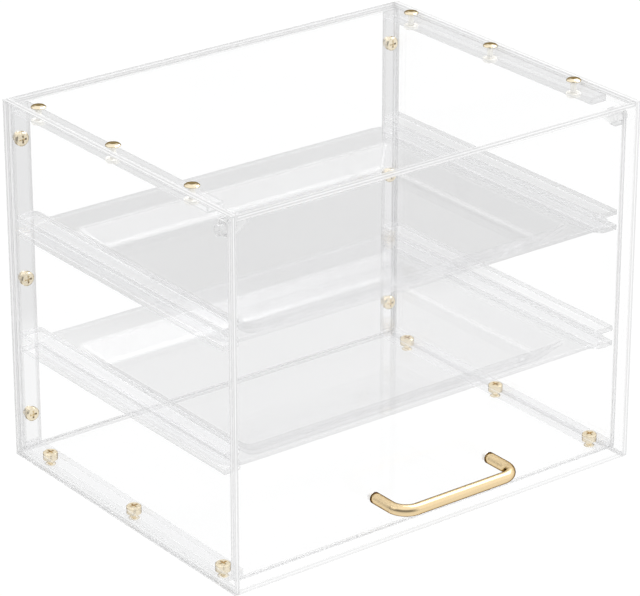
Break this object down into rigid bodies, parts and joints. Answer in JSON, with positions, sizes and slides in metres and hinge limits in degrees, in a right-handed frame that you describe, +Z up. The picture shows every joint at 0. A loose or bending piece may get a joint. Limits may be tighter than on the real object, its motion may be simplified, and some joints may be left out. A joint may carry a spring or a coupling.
{
  "type": "desk organizer",
  "caption": "Clear acrylic countertop organizer case with two slide-in basin trays on side rails and a flip-up front door with a brass bar handle",
  "frame": {"origin": "middle of the case's underside, under the centre of the box without its handle", "axes": "+Z up, +X to the right as seen from the front, -Y toward the front door and its handle"},
  "size_m": [0.33, 0.2796, 0.2599],
  "materials": {
    "clear_acrylic": "polished clear sheet with brighter cut edges",
    "strip_acrylic": "polished clear bar stock, greyer where it lies on a panel",
    "tray_acrylic": "moulded clear tray, faintly grey",
    "brass_screw": "polished yellow brass",
    "brass_handle": "satin gold bar"
  },
  "bodies": {
    "case": {"top_panel": "clear_acrylic", "bottom_panel": "clear_acrylic", "back_panel": "clear_acrylic", "side_panel_left": "clear_acrylic", "top_strip_left": "strip_acrylic", "bottom_strip_left": "strip_acrylic", "back_strip_left": "strip_acrylic", "upper_tray_support_rail_left": "strip_acrylic", "upper_tray_guide_rail_left": "strip_acrylic", "lower_tray_support_rail_left": "strip_acrylic", "lower_tray_guide_rail_left": "strip_acrylic", "top_screw_left_1": "brass_screw", "top_screw_left_2": "brass_screw", "top_screw_left_3": "brass_screw", "bottom_screw_left_1": "brass_screw", "bottom_screw_left_2": "brass_screw", "bottom_screw_left_3": "brass_screw", "back_screw_left_1": "brass_screw", "back_screw_left_2": "brass_screw", "back_screw_left_3": "brass_screw", "side_panel_right": "clear_acrylic", "top_strip_right": "strip_acrylic", "bottom_strip_right": "strip_acrylic", "back_strip_right": "strip_acrylic", "upper_tray_support_rail_right": "strip_acrylic", "upper_tray_guide_rail_right": "strip_acrylic", "lower_tray_support_rail_right": "strip_acrylic", "lower_tray_guide_rail_right": "strip_acrylic", "top_screw_right_1": "brass_screw", "top_screw_right_2": "brass_screw", "top_screw_right_3": "brass_screw", "bottom_screw_right_1": "brass_screw", "bottom_screw_right_2": "brass_screw", "bottom_screw_right_3": "brass_screw", "back_screw_right_1": "brass_screw", "back_screw_right_2": "brass_screw", "back_screw_right_3": "brass_screw"},
    "flip_door": {"door": "clear_acrylic", "handle": "brass_handle", "hinge_block_left": "clear_acrylic", "hinge_pin_left": "clear_acrylic", "handle_screw_left": "brass_screw", "hinge_block_right": "clear_acrylic", "hinge_pin_right": "clear_acrylic", "handle_screw_right": "brass_screw"},
    "upper_tray_body": {"upper_tray": "tray_acrylic"},
    "lower_tray_body": {"lower_tray": "tray_acrylic"}
  },
  "joints": [
    {"name": "door_hinge", "type": "hinge", "parent": "case", "child": "flip_door", "pos_m": [0, -0.112, 0.244], "axis": [-1, 0, 0], "range_deg": [0, 95]},
    {"name": "upper_tray_slide", "type": "slide", "parent": "case", "child": "upper_tray_body", "axis": [0, -1, 0], "range_m": [0, 0.115]},
    {"name": "lower_tray_slide", "type": "slide", "parent": "case", "child": "lower_tray_body", "axis": [0, -1, 0], "range_m": [0, 0.115]}
  ],
  "couplings": [
    {"joint": "upper_tray_slide", "follows": "door_hinge", "m_per_rad": 0.069},
    {"joint": "lower_tray_slide", "follows": "door_hinge", "m_per_rad": 0.069}
  ]
}
